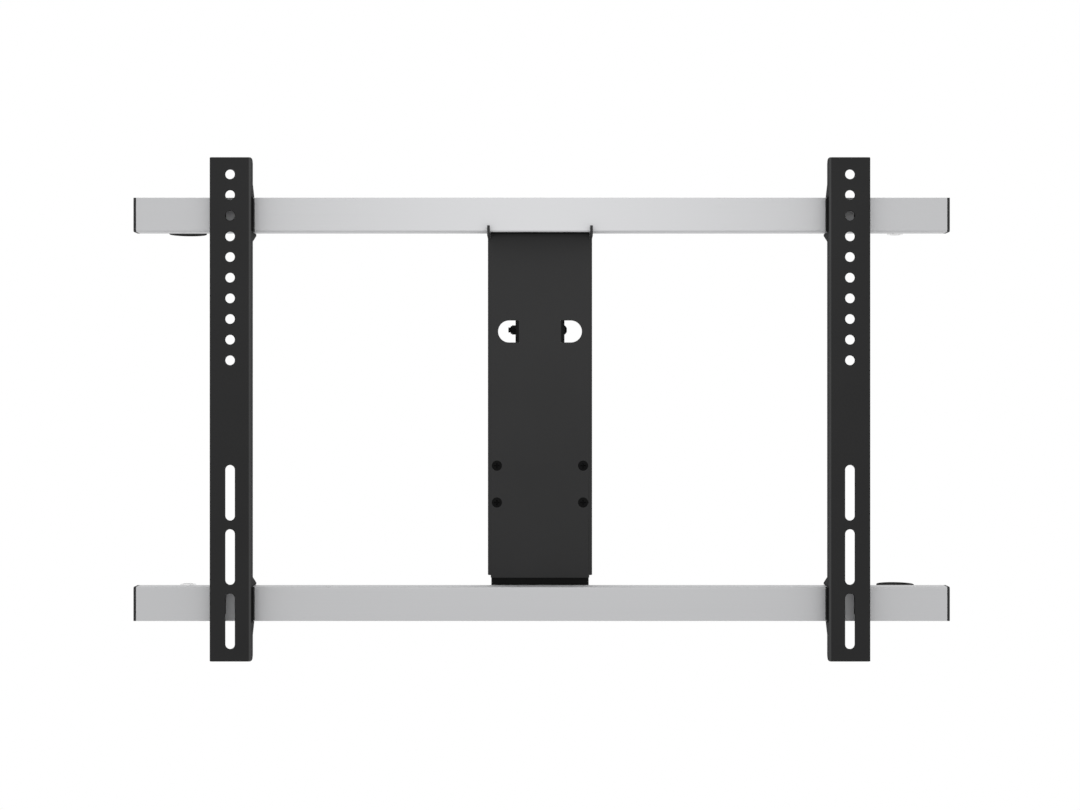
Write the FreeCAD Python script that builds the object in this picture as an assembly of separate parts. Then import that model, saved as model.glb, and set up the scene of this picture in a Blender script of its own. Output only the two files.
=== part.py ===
import FreeCAD, Part

import math
import os

# A TV mount: two aluminium rails on a folded steel column, with two slotted strips for the screen.
# Sizes are millimetres. While it is drawn, X runs along the rails, Y is the depth behind the
# screen's back, and Z is the height above the middle of the strips. The finished pieces are then
# moved so that the origin is the middle of the hanging bar.

# Overall layout
STRIP_SPACING = 600.0
RAIL_FROM_STRIP_END = 54.075
BAR_DEPTH = 49.0
BAR_RISE = 2.0

# Screen strips, folded from sheet
STRIP_LENGTH = 488.0
STRIP_WIDTH = 40.0
STRIP_SHEET = 2.5
STRIP_BEND = 0.5
STRIP_FLANGE = 15.0
STRIP_CORNER = 6.0
HOLE_DIAMETER = 9.4
HOLE_COUNT = 10
HOLE_PITCH = 20.0
FIRST_HOLE_FROM_TOP = 16.5
SLOT_LENGTH = 53.8
SLOT_COUNT = 3
SLOT_PITCH = 62.2
LAST_SLOT_FROM_BOTTOM = 12.0
RAIL_FIT = 0.3
RAIL_NOTCH_DEPTH = 5.2
SHALLOW_FINGER_DEPTH = 24.8
SHALLOW_FINGER_TIP = 0.5
SHALLOW_FINGER_ROOT = 13.0
DEEP_FINGER_DEPTH = 37.4
DEEP_FINGER_TIP = 2.1
DEEP_FINGER_ROOT = 9.5
TAB_REACH = 13.5
TAB_HEIGHT = 20.0
TAB_RELIEF = 1.6

# Rails, a C-shaped extrusion with its slot at the back, set a little to the right of the middle
RAIL_LENGTH = 792.0
RAIL_SHIFT = 1.6
RAIL_HEIGHT = 33.45
RAIL_BEHIND_FLANGE = 1.3
RAIL_DEPTH = 18.5
RAIL_WALL = 2.0
RAIL_CORNER = 0.5
RAIL_ROUND_EDGE = 2.0
RAIL_SLOT = 8.2

# End caps
CAP_THICKNESS = 2.5
CAP_EDGE = 0.4
PLUG_LENGTH = 12.0
PLUG_WALL = 1.6
PLUG_GAP = 0.1

# Column, folded from sheet, with a hook under each end of its top edge
COLUMN_WIDTH = 102.9
COLUMN_SHEET = 2.5
COLUMN_BEND = 1.3
COLUMN_WALL_DEPTH = 30.0
COLUMN_TOP_GAP = 0.15
COLUMN_FOOT_GAP = 7.2
COLUMN_FOOT_LIP = 2.5
COLUMN_FACE_INSET = 0.4
COLUMN_FOLD_DROP = 5.0
HOOK_LIP = 5.3
HOOK_LIP_RISE = 5.95
HOOK_LIP_DROP = 4.2
HOOK_FIT = 0.2
TAB_GAP_OVER_FACE = 7.0
TAB_TOP_DROP = 5.0
RAIL_TAB_WIDTH = 23.45
COLUMN_REAR_CHAMFER = 12.0

# Round-ended cut-outs in the column, whose tongues are folded back as ears
EAR_FOLD_X = 20.4
CUTOUT_CENTRE_X = 30.5
CUTOUT_RADIUS = 10.85
CUTOUT_HEIGHT = 76.8
EAR_KERF = 0.2
EAR_RELIEF = 1.7
EAR_RELIEF_START = 1.0
EAR_RELIEF_DEPTH = 4.1

# Hanging bar: a bolt with a sleeve between the ears
BAR_SLEEVE_DIAMETER = 9.0
BAR_HEAD_DIAMETER = 9.5
BAR_HEAD_HEIGHT = 2.75
BAR_NUT_FLATS = 8.0
BAR_NUT_HEIGHT = 5.0
BAR_NUT_COLLAR = 1.3
BAR_TIP = 2.2
BAR_SOCKET_FLATS = 3.0
BAR_SOCKET_DEPTH = 1.8

# Lower bracket, a channel inside the foot of the column
BRACKET_GAP = 0.8
BRACKET_WALL_DEPTH = 22.0
BRACKET_TOP_MARGIN = 19.6
BRACKET_WALL_MARGIN = 12.1
BRACKET_FOOT = 14.075
COLUMN_SCREW_FROM_EDGE = 8.95
COLUMN_SCREW_TOP = -55.6
COLUMN_SCREW_PITCH = 36.3

# Fasteners
M5 = 5.0
M6 = 6.0
THREAD_GAP = 0.05
HOLE_PLAY = 0.5
COLUMN_SCREW_HEAD = 10.0
COLUMN_SCREW_DOME = 0.9
COUNTERSINK_PLAY = 0.4
COLUMN_SCREW_TAIL = 1.5
CROSS_LENGTH = 5.2
CROSS_WIDTH = 1.1
CROSS_DEPTH = 1.8
CLINCH_NUT_DIAMETER = 8.6
CLINCH_NUT_HEIGHT = 4.0
RAIL_SCREW_FROM_EDGE = 13.45
BOTTOM_SCREW_X = 25.0
SPACER_DIAMETER = 16.0
HEX_M5_FLATS = 8.0
HEX_M5_HEIGHT = 3.5
HEX_M6_FLATS = 10.0
HEX_M6_HEIGHT = 4.0
WASHER_FACE_DIAMETER = 12.0
WASHER_FACE_HEIGHT = 1.2
SLOT_NUT_WIDTH = 14.0
SLOT_NUT_LENGTH = 16.0
SLOT_NUT_HEIGHT = 5.0
SCREW_TAIL = 1.5

# Round buffers behind the rail ends, each on its own angle bracket
BUFFER_DIAMETER = 37.0
BUFFER_HEIGHT = 6.0
BUFFER_EDGE = 1.0
POST_DIAMETER = 16.0
BUFFER_GAP = 0.3
ANGLE_WIDTH = 26.0
ANGLE_SHEET = 3.0
ANGLE_BEND = 1.0
ANGLE_SCREW_GAP = 0.15
ANGLE_RISE = 22.0
ANGLE_SHELF_MARGIN = 9.0
ANGLE_CORNER = 6.5
BUFFER_SCREW_DEPTH = 4.0

# Values worked out from the sizes above
RAIL_FRONT = STRIP_FLANGE + RAIL_BEHIND_FLANGE
RAIL_BACK = RAIL_FRONT + RAIL_DEPTH
RAIL_CENTRE = STRIP_LENGTH / 2 - RAIL_FROM_STRIP_END
RAIL_INNER_FACE = RAIL_CENTRE - RAIL_HEIGHT / 2
RAIL_OUTER_FACE = RAIL_CENTRE + RAIL_HEIGHT / 2
SLOT_NUT_BACK = RAIL_BACK - RAIL_WALL
COLUMN_FRONT = RAIL_BACK
COLUMN_FACE_BACK = COLUMN_FRONT + COLUMN_SHEET
COLUMN_HALF = COLUMN_WIDTH / 2
COLUMN_BACK = COLUMN_FRONT + COLUMN_WALL_DEPTH
COLUMN_FACE_TOP = RAIL_INNER_FACE - COLUMN_TOP_GAP
COLUMN_FOLD_TOP = RAIL_INNER_FACE - COLUMN_FOLD_DROP
COLUMN_FACE_BOTTOM = COLUMN_FOOT_GAP - RAIL_INNER_FACE
COLUMN_WALL_BOTTOM = COLUMN_FACE_BOTTOM + COLUMN_FOOT_LIP
COLUMN_SCREW_X = COLUMN_HALF - COLUMN_SCREW_FROM_EDGE
COLUMN_SCREW_HEIGHTS = (COLUMN_SCREW_TOP, COLUMN_SCREW_TOP - COLUMN_SCREW_PITCH)
RAIL_SCREW_X = COLUMN_HALF - RAIL_SCREW_FROM_EDGE
TAB_INNER_X = COLUMN_HALF - RAIL_TAB_WIDTH
COLUMN_BEND_OUTER = COLUMN_BEND + COLUMN_SHEET
WALL_INNER_X = COLUMN_HALF - COLUMN_SHEET
EAR_OUTER_X = EAR_FOLD_X + COLUMN_BEND_OUTER
EAR_INNER_X = EAR_OUTER_X - COLUMN_SHEET
BAR_HEIGHT = CUTOUT_HEIGHT + BAR_RISE
EAR_TIP_DEPTH = BAR_DEPTH + CUTOUT_RADIUS - EAR_KERF
BRACKET_HALF = WALL_INNER_X - BRACKET_GAP
BRACKET_FRONT = COLUMN_FACE_BACK
BRACKET_FACE_BACK = BRACKET_FRONT + COLUMN_SHEET
BRACKET_TOP = COLUMN_SCREW_HEIGHTS[0] + BRACKET_TOP_MARGIN
BRACKET_WALL_TOP = COLUMN_SCREW_HEIGHTS[-1] - BRACKET_WALL_MARGIN
BRACKET_BOTTOM = -RAIL_CENTRE - BRACKET_FOOT
STRIP_SCREW_OFFSET = (STRIP_WIDTH / 2 - STRIP_SHEET - STRIP_BEND + STRIP_WIDTH / 2 - TAB_REACH) / 2
STRIP_OUTER_X = STRIP_SPACING / 2 + STRIP_WIDTH / 2
BUFFER_X = (STRIP_OUTER_X + RAIL_LENGTH / 2 - PLUG_LENGTH) / 2
ANGLE_INNER_CORNER = ANGLE_SHEET + ANGLE_BEND
BUFFER_SHELF = RAIL_CENTRE - WASHER_FACE_DIAMETER / 2 - ANGLE_SCREW_GAP - ANGLE_INNER_CORNER

Vector = FreeCAD.Vector
ALONG_X = Vector(1, 0, 0)
ALONG_Y = Vector(0, 1, 0)
ALONG_Z = Vector(0, 0, 1)
CENTRE = Vector(0, 0, 0)
HALF_TURN = 180.0
OVERCUT = 1.0
HEX_SIDES = 6


def plan(across, depth):
    """A point of a section seen from above."""
    return Vector(across, depth, 0)


def side(depth, height):
    """A point of a section seen from the side."""
    return Vector(0, depth, height)


def polygon(points, view):
    """A flat face with straight edges."""
    corners = [view(*point) for point in points]
    return Part.Face(Part.makePolygon(corners + corners[:1]))


def span(shape, start, end, direction):
    """A flat face swept from one place on an axis to another."""
    moved = shape.translated(direction * start)
    return moved.extrude(direction * (end - start))


def box(x_range, y_range, z_range):
    """A block between two limits on each axis."""
    corner = Vector(x_range[0], y_range[0], z_range[0])
    return Part.makeBox(x_range[1] - x_range[0], y_range[1] - y_range[0], z_range[1] - z_range[0], corner)


def rod(diameter, start, length, direction):
    """A round bar from a point along a direction."""
    return Part.makeCylinder(diameter / 2, length, start, direction)


def hexagon(flats, start, length, direction):
    """A hexagonal bar from a point along a direction."""
    radius = flats / math.sqrt(3)
    turn = FreeCAD.Rotation(ALONG_Z, direction)
    corners = []
    for index in range(HEX_SIDES):
        angle = 2 * math.pi * index / HEX_SIDES
        corners.append(start + turn.multVec(Vector(radius * math.cos(angle), radius * math.sin(angle), 0)))
    return Part.Face(Part.makePolygon(corners + corners[:1])).extrude(direction * length)


def runs_along(edge, axis):
    """Whether a straight edge lies along an axis."""
    return math.isclose(abs(edge.tangentAt(edge.FirstParameter).dot(axis)), 1.0)


def unit(vector):
    """The direction of a vector."""
    return vector * (1 / vector.Length)


def arc(centre, from_normal, to_normal, radius):
    """A round corner about a centre, between two unit normals that point towards the centre."""
    middle = unit(from_normal + to_normal)
    points = [centre - normal * radius for normal in (from_normal, middle, to_normal)]
    return Part.Arc(*points).toShape()


def folded_section(points, sheet, bend, view):
    """The section of a folded sheet.

    The points are the sharp corners of its outer side, in an order that turns left at each fold,
    and the sheet's thickness lies to the left.
    """
    outer_radius = bend + sheet
    flat = [Vector(across, along, 0) for across, along in points]
    directions = [unit(after - before) for before, after in zip(flat, flat[1:])]
    normals = [Vector(-direction.y, direction.x, 0) for direction in directions]
    outer_edges = []
    inner_edges = []
    outer_from = flat[0]
    inner_from = flat[0] + normals[0] * sheet
    for index in range(1, len(flat) - 1):
        before = normals[index - 1]
        after = normals[index]
        half_turn = before.getAngle(after) / 2
        setback = outer_radius * math.tan(half_turn)
        centre = flat[index] - directions[index - 1] * setback + before * outer_radius
        outer_edges.append(Part.makeLine(outer_from, centre - before * outer_radius))
        outer_edges.append(arc(centre, before, after, outer_radius))
        inner_edges.append(Part.makeLine(inner_from, centre - before * bend))
        inner_edges.append(arc(centre, before, after, bend))
        outer_from = centre - after * outer_radius
        inner_from = centre - after * bend
    outer_end = flat[-1]
    inner_end = flat[-1] + normals[-1] * sheet
    outer_edges.append(Part.makeLine(outer_from, outer_end))
    inner_edges.append(Part.makeLine(inner_from, inner_end))
    caps = [Part.makeLine(flat[0], flat[0] + normals[0] * sheet), Part.makeLine(outer_end, inner_end)]
    wire = Part.Wire(Part.__sortEdges__(outer_edges + caps + inner_edges))
    face = Part.Face(wire)
    origin = view(0, 0)
    first = view(1, 0) - origin
    second = view(0, 1) - origin
    face.Placement = FreeCAD.Placement(origin, FreeCAD.Rotation(first, second, first.cross(second), "XYZ"))
    return face


def channel(half_width, front_depth, back_depth, sheet, bend, z_range):
    """A U-shaped folded channel that opens to the back."""
    outline = [
        (-half_width, back_depth),
        (-half_width, front_depth),
        (half_width, front_depth),
        (half_width, back_depth),
    ]
    section = folded_section(outline, sheet, bend, plan)
    return span(section, z_range[0], z_range[1], ALONG_Z)


def is_inner_front(edge, height):
    """Whether an edge is the front edge of the rail at a height, on the side of the mount's middle."""
    inner = math.copysign(RAIL_INNER_FACE, height)
    middle = edge.CenterOfMass
    return math.isclose(middle.y, RAIL_FRONT) and math.isclose(middle.z, inner)


def rail_block(x_range, height):
    """A block with a rail's outline, whose front edge towards the mount's middle is rounder."""
    half = RAIL_HEIGHT / 2
    block = box(x_range, (RAIL_FRONT, RAIL_BACK), (height - half, height + half))
    long_edges = [edge for edge in block.Edges if runs_along(edge, ALONG_X)]
    block = block.makeFillet(RAIL_CORNER, [edge for edge in long_edges if not is_inner_front(edge, height)])
    return block.makeFillet(RAIL_ROUND_EDGE, [edge for edge in block.Edges if is_inner_front(edge, height)])


def long_hole(centre, width, length, y_range):
    """A slot along Z that passes through a sheet."""
    half_run = (length - width) / 2
    ends = []
    for sign in (-1, 1):
        start = Vector(centre[0], y_range[0], centre[1] + sign * half_run)
        ends.append(rod(width, start, y_range[1] - y_range[0], ALONG_Y))
    x_range = (centre[0] - width / 2, centre[0] + width / 2)
    middle = box(x_range, y_range, (centre[1] - half_run, centre[1] + half_run))
    return middle.fuse(ends)


def both_sides(shape, axis):
    """A shape and its mirror image in the plane through the origin."""
    return [shape, shape.mirror(CENTRE, axis)]


def on_upper_rail(shape):
    """A shape drawn about the middle, moved along with the upper rail."""
    return shape.translated(ALONG_X * RAIL_SHIFT)


def on_lower_rail(shape):
    """The same shape on the lower rail, turned half a turn about the line of sight."""
    turned = shape.copy()
    turned.rotate(CENTRE, ALONG_Y, HALF_TURN)
    return turned.translated(ALONG_X * RAIL_SHIFT)


def on_both_rails(shapes):
    """Shapes on the upper rail, and the same shapes on the lower rail."""
    return [on_upper_rail(shape) for shape in shapes] + [on_lower_rail(shape) for shape in shapes]


def flange_outline(has_tabs):
    """The side view of a strip's flange, with a finger on each side of each rail.

    A flange with tabs stays deep between the fingers, and the other one is cut back there.
    """
    half = STRIP_LENGTH / 2
    outer_edge = RAIL_OUTER_FACE + RAIL_FIT
    inner_edge = RAIL_INNER_FACE - RAIL_FIT
    bend_start = RAIL_FRONT - STRIP_SHEET - STRIP_BEND
    tab_half = TAB_HEIGHT / 2 + TAB_RELIEF
    seat = [(RAIL_NOTCH_DEPTH, outer_edge), (RAIL_NOTCH_DEPTH, inner_edge)]
    if has_tabs:
        seat = [
            (STRIP_FLANGE, outer_edge),
            (STRIP_FLANGE, RAIL_CENTRE + tab_half),
            (bend_start, RAIL_CENTRE + tab_half),
            (bend_start, RAIL_CENTRE - tab_half),
            (STRIP_FLANGE, RAIL_CENTRE - tab_half),
            (STRIP_FLANGE, inner_edge),
        ]
    shallow_finger = [
        (STRIP_FLANGE, outer_edge + SHALLOW_FINGER_ROOT),
        (SHALLOW_FINGER_DEPTH, outer_edge + SHALLOW_FINGER_TIP),
        (SHALLOW_FINGER_DEPTH, outer_edge),
    ]
    deep_finger = [
        (DEEP_FINGER_DEPTH, inner_edge),
        (DEEP_FINGER_DEPTH, inner_edge - DEEP_FINGER_TIP),
        (STRIP_FLANGE, inner_edge - DEEP_FINGER_ROOT),
    ]
    upper = [(0, half), (STRIP_FLANGE, half)] + shallow_finger + seat + deep_finger
    lower = [(depth, -height) for depth, height in reversed(upper)]
    return polygon(upper + lower, side)


def strip_holes():
    """The heights of a strip's round holes, from the top down."""
    first = STRIP_LENGTH / 2 - FIRST_HOLE_FROM_TOP
    return [first - index * HOLE_PITCH for index in range(HOLE_COUNT)]


def strip_slots():
    """The heights of the middles of a strip's slots, from the bottom up."""
    first = -STRIP_LENGTH / 2 + LAST_SLOT_FROM_BOTTOM + SLOT_LENGTH / 2
    return [first + index * SLOT_PITCH for index in range(SLOT_COUNT)]


def strip_tab():
    """A tab folded in from the right flange, which seats on the front of a rail at height zero."""
    half = STRIP_WIDTH / 2
    bend_start = RAIL_FRONT - STRIP_SHEET - STRIP_BEND
    root = bend_start - STRIP_SHEET
    outline = [(half, root), (half, RAIL_FRONT), (half - TAB_REACH, RAIL_FRONT)]
    section = folded_section(outline, STRIP_SHEET, STRIP_BEND, plan)
    tab = span(section, -TAB_HEIGHT / 2, TAB_HEIGHT / 2, ALONG_Z)
    start = Vector(STRIP_SCREW_OFFSET, 0, 0)
    return tab.cut(rod(M5 + 2 * THREAD_GAP, start, RAIL_BACK, ALONG_Y))


def make_right_strip():
    """The right screen strip, with its tabs on the outer side."""
    half = STRIP_LENGTH / 2
    sheet_range = (-OVERCUT, STRIP_SHEET + OVERCUT)
    strip = channel(STRIP_WIDTH / 2, 0, DEEP_FINGER_DEPTH, STRIP_SHEET, STRIP_BEND, (-half, half))
    inner_side = span(flange_outline(False), -STRIP_WIDTH, 0, ALONG_X)
    outer_side = span(flange_outline(True), 0, STRIP_WIDTH, ALONG_X)
    strip = strip.common(inner_side.fuse(outer_side))
    corners = []
    for edge in strip.Edges:
        middle = edge.CenterOfMass
        is_corner = math.isclose(middle.y, STRIP_FLANGE) and math.isclose(abs(middle.z), half)
        if is_corner and runs_along(edge, ALONG_X):
            corners.append(edge)
    strip = strip.makeFillet(STRIP_CORNER, corners)
    cuts = []
    for height in strip_holes():
        start = Vector(0, sheet_range[0], height)
        cuts.append(rod(HOLE_DIAMETER, start, sheet_range[1] - sheet_range[0], ALONG_Y))
    for height in strip_slots():
        cuts.append(long_hole((0, height), HOLE_DIAMETER, SLOT_LENGTH, sheet_range))
    strip = strip.cut(cuts)
    tabs = [strip_tab().translated(ALONG_Z * height) for height in (RAIL_CENTRE, -RAIL_CENTRE)]
    strip = strip.fuse(tabs).removeSplitter()
    return strip.translated(ALONG_X * STRIP_SPACING / 2)


def strip_screw_places():
    """Where the strips' screws cross a rail."""
    place = STRIP_SPACING / 2 + STRIP_SCREW_OFFSET
    return [-place, place]


def make_rail(height):
    """A rail at a height: a C-shaped extrusion, drilled for the strips' screws."""
    rail = rail_block((RAIL_SHIFT - RAIL_LENGTH / 2, RAIL_SHIFT + RAIL_LENGTH / 2), height)
    inside_y = (RAIL_FRONT + RAIL_WALL, RAIL_BACK - RAIL_WALL)
    inside_half = RAIL_HEIGHT / 2 - RAIL_WALL
    inside_z = (height - inside_half, height + inside_half)
    length = (-RAIL_LENGTH, RAIL_LENGTH)
    slot_z = (height - RAIL_SLOT / 2, height + RAIL_SLOT / 2)
    slot_y = (inside_y[1] - OVERCUT, RAIL_BACK + OVERCUT)
    cuts = [box(length, inside_y, inside_z), box(length, slot_y, slot_z)]
    for x in strip_screw_places():
        start = Vector(x, RAIL_FRONT - OVERCUT, height)
        cuts.append(rod(M5 + HOLE_PLAY, start, RAIL_WALL + 2 * OVERCUT, ALONG_Y))
    return rail.cut(cuts)


def make_upper_cap(sign):
    """An end cap of the upper rail: a plate with a hollow plug that fits inside the rail."""
    end = RAIL_LENGTH / 2
    plate = rail_block((end, end + CAP_THICKNESS), RAIL_CENTRE)
    outer_rim = [edge for edge in plate.Edges if math.isclose(edge.CenterOfMass.x, end + CAP_THICKNESS)]
    plate = plate.makeFillet(CAP_EDGE, outer_rim)
    inset = RAIL_WALL + PLUG_GAP
    plug_x = (end - PLUG_LENGTH, end)
    hollow_x = (end - PLUG_LENGTH - OVERCUT, end)
    plug_y = (RAIL_FRONT + inset, RAIL_BACK - inset)
    plug_z = (RAIL_INNER_FACE + inset, RAIL_OUTER_FACE - inset)
    plug = box(plug_x, plug_y, plug_z)
    hollow_y = (plug_y[0] + PLUG_WALL, plug_y[1] - PLUG_WALL)
    hollow_z = (plug_z[0] + PLUG_WALL, plug_z[1] - PLUG_WALL)
    cap = plate.fuse(plug.cut(box(hollow_x, hollow_y, hollow_z))).removeSplitter()
    return cap if sign > 0 else cap.mirror(CENTRE, ALONG_X)


def hook_wall():
    """The top of the column's right wall, with the hook that carries the upper rail."""
    wall_front = COLUMN_FRONT + COLUMN_BEND_OUTER
    lip_back = RAIL_FRONT - HOOK_FIT
    lip_front = lip_back - HOOK_LIP
    top = RAIL_OUTER_FACE - TAB_TOP_DROP
    outline = [
        (lip_front, RAIL_INNER_FACE - HOOK_LIP_DROP),
        (lip_front, RAIL_INNER_FACE + HOOK_LIP_RISE),
        (lip_back, RAIL_INNER_FACE + HOOK_LIP_RISE),
        (lip_back, RAIL_INNER_FACE),
        (wall_front, RAIL_INNER_FACE),
        (wall_front, top),
        (COLUMN_BACK - COLUMN_REAR_CHAMFER, top),
        (COLUMN_BACK, top - COLUMN_REAR_CHAMFER),
        (COLUMN_BACK, COLUMN_FOLD_TOP),
        (COLUMN_FRONT, COLUMN_FOLD_TOP),
    ]
    return span(polygon(outline, side), WALL_INNER_X, COLUMN_HALF, ALONG_X)


def cutout(sign):
    """The round-ended cut-out on one side of the column."""
    y_range = (COLUMN_FRONT - OVERCUT, COLUMN_FACE_BACK + OVERCUT)
    z_range = (CUTOUT_HEIGHT - CUTOUT_RADIUS, CUTOUT_HEIGHT + CUTOUT_RADIUS)
    straight = box((EAR_FOLD_X, CUTOUT_CENTRE_X), y_range, z_range)
    start = Vector(CUTOUT_CENTRE_X, y_range[0], CUTOUT_HEIGHT)
    hole = straight.fuse(rod(2 * CUTOUT_RADIUS, start, y_range[1] - y_range[0], ALONG_Y))
    return hole if sign > 0 else hole.mirror(CENTRE, ALONG_X)


def make_ears():
    """The two ears and the strip of the column's face between them."""
    radius = CUTOUT_RADIUS - EAR_KERF
    z_range = (CUTOUT_HEIGHT - radius, CUTOUT_HEIGHT + radius)
    ears = channel(EAR_OUTER_X, COLUMN_FRONT, EAR_TIP_DEPTH, COLUMN_SHEET, COLUMN_BEND, z_range)
    width = (-EAR_OUTER_X, EAR_OUTER_X)
    outline = box(width, (COLUMN_FRONT, BAR_DEPTH), z_range)
    start = Vector(-EAR_OUTER_X, BAR_DEPTH, CUTOUT_HEIGHT)
    outline = outline.fuse(rod(2 * radius, start, 2 * EAR_OUTER_X, ALONG_X))
    ears = ears.common(outline)
    cuts = [rod(M5 + HOLE_PLAY, Vector(-EAR_OUTER_X, BAR_DEPTH, BAR_HEIGHT), 2 * EAR_OUTER_X, ALONG_X)]
    relief_x = (EAR_FOLD_X + EAR_RELIEF_START, EAR_OUTER_X + OVERCUT)
    relief_y = (COLUMN_FRONT - OVERCUT, COLUMN_FRONT + EAR_RELIEF_DEPTH)
    for edge_sign in (-1, 1):
        edge = CUTOUT_HEIGHT + edge_sign * CUTOUT_RADIUS
        limits = sorted((edge, edge - edge_sign * EAR_RELIEF))
        cuts.extend(both_sides(box(relief_x, relief_y, limits), ALONG_X))
    return ears.cut(cuts)


def column_screw_places():
    """Where the column's screws stand, as places across and heights."""
    return [(sign * COLUMN_SCREW_X, height) for height in COLUMN_SCREW_HEIGHTS for sign in (-1, 1)]


def countersink(head, shank, place, depth):
    """A cone from a head's edge down to its shank, with a 90 degree angle."""
    height = (head - shank) / 2
    return Part.makeCone(head / 2, shank / 2, height, Vector(place[0], depth, place[1]), ALONG_Y)


def make_column():
    """The folded column with its hooks, rail tabs, ears and screw holes."""
    fold_z = (COLUMN_WALL_BOTTOM, COLUMN_FOLD_TOP)
    body = channel(COLUMN_HALF, COLUMN_FRONT, COLUMN_BACK, COLUMN_SHEET, COLUMN_BEND, fold_z)
    face_x = WALL_INNER_X - COLUMN_FACE_INSET
    face_z = (COLUMN_FACE_BOTTOM, COLUMN_FACE_TOP)
    face = channel(COLUMN_HALF, COLUMN_FRONT, COLUMN_BACK, COLUMN_SHEET, COLUMN_BEND, face_z)
    face = face.common(box((-face_x, face_x), (COLUMN_FRONT, COLUMN_BACK), face_z))
    tab_z = (RAIL_INNER_FACE + TAB_GAP_OVER_FACE, RAIL_OUTER_FACE - TAB_TOP_DROP)
    tab_back = COLUMN_FRONT + COLUMN_BEND_OUTER + COLUMN_SHEET
    tabs = channel(COLUMN_HALF, COLUMN_FRONT, tab_back, COLUMN_SHEET, COLUMN_BEND, tab_z)
    tabs = tabs.cut(box((-TAB_INNER_X, TAB_INNER_X), (COLUMN_FRONT - OVERCUT, COLUMN_BACK), tab_z))
    walls = both_sides(hook_wall(), ALONG_X)
    column = body.fuse([face, tabs] + walls)
    column = column.cut([cutout(-1), cutout(1)])
    column = column.fuse(make_ears())
    cuts = []
    through = COLUMN_SHEET + 2 * OVERCUT
    for place in column_screw_places():
        start = Vector(place[0], COLUMN_FRONT - OVERCUT, place[1])
        cuts.append(rod(M5 + HOLE_PLAY, start, through, ALONG_Y))
        cuts.append(countersink(COLUMN_SCREW_HEAD + COUNTERSINK_PLAY, M5 + HOLE_PLAY, place, COLUMN_FRONT))
    for sign in (-1, 1):
        start = Vector(sign * RAIL_SCREW_X, COLUMN_FRONT - OVERCUT, RAIL_CENTRE)
        cuts.append(rod(M6 + HOLE_PLAY, start, through, ALONG_Y))
    return column.cut(cuts).removeSplitter()


def make_column_screws():
    """The four cross-recessed screws in the column's face."""
    screws = []
    cone_height = (COLUMN_SCREW_HEAD - M5) / 2
    length = COLUMN_SHEET + COLUMN_SHEET + CLINCH_NUT_HEIGHT + COLUMN_SCREW_TAIL
    sink = COUNTERSINK_PLAY / 2
    head_radius = COLUMN_SCREW_HEAD / 2
    ball_radius = (head_radius**2 + COLUMN_SCREW_DOME**2) / (2 * COLUMN_SCREW_DOME)
    for place in column_screw_places():
        head_depth = COLUMN_FRONT + sink
        crown = head_depth - COLUMN_SCREW_DOME
        screw = countersink(COLUMN_SCREW_HEAD, M5, place, head_depth)
        start = Vector(place[0], head_depth + cone_height, place[1])
        screw = screw.fuse(rod(M5, start, length - cone_height, ALONG_Y))
        ball_centre = Vector(place[0], crown + ball_radius, place[1])
        ball = Part.makeSphere(ball_radius, ball_centre)
        dome_start = Vector(place[0], crown, place[1])
        dome = ball.common(rod(COLUMN_SCREW_HEAD, dome_start, COLUMN_SCREW_DOME, ALONG_Y))
        screw = screw.fuse(dome)
        cross_y = (crown - OVERCUT, crown + CROSS_DEPTH)
        for x_size, z_size in ((CROSS_LENGTH, CROSS_WIDTH), (CROSS_WIDTH, CROSS_LENGTH)):
            x_range = (place[0] - x_size / 2, place[0] + x_size / 2)
            z_range = (place[1] - z_size / 2, place[1] + z_size / 2)
            screw = screw.cut(box(x_range, cross_y, z_range))
        screws.append(screw.removeSplitter())
    return screws


def make_clinch_nuts():
    """The four nuts pressed into the back of the lower bracket."""
    nuts = []
    for place in column_screw_places():
        start = Vector(place[0], BRACKET_FACE_BACK, place[1])
        nut = rod(CLINCH_NUT_DIAMETER, start, CLINCH_NUT_HEIGHT, ALONG_Y)
        nuts.append(nut.cut(rod(M5 + 2 * THREAD_GAP, start, CLINCH_NUT_HEIGHT, ALONG_Y)))
    return nuts


def make_lower_bracket():
    """The channel inside the column's foot that carries the lower rail."""
    back = BRACKET_FRONT + BRACKET_WALL_DEPTH
    wall_z = (BRACKET_BOTTOM, BRACKET_WALL_TOP)
    bracket = channel(BRACKET_HALF, BRACKET_FRONT, back, COLUMN_SHEET, COLUMN_BEND, wall_z)
    tongue_half = BRACKET_HALF - COLUMN_BEND
    tongue_y = (BRACKET_FRONT, BRACKET_FACE_BACK)
    tongue_z = (BRACKET_BOTTOM, BRACKET_TOP)
    bracket = bracket.fuse(box((-tongue_half, tongue_half), tongue_y, tongue_z))
    cuts = []
    through = COLUMN_SHEET + 2 * OVERCUT
    for place in column_screw_places():
        start = Vector(place[0], BRACKET_FRONT - OVERCUT, place[1])
        cuts.append(rod(M5 + HOLE_PLAY, start, through, ALONG_Y))
    for sign in (-1, 1):
        start = Vector(sign * BOTTOM_SCREW_X, BRACKET_FRONT - OVERCUT, -RAIL_CENTRE)
        cuts.append(rod(M6 + HOLE_PLAY, start, through, ALONG_Y))
    return bracket.cut(cuts).removeSplitter()


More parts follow.
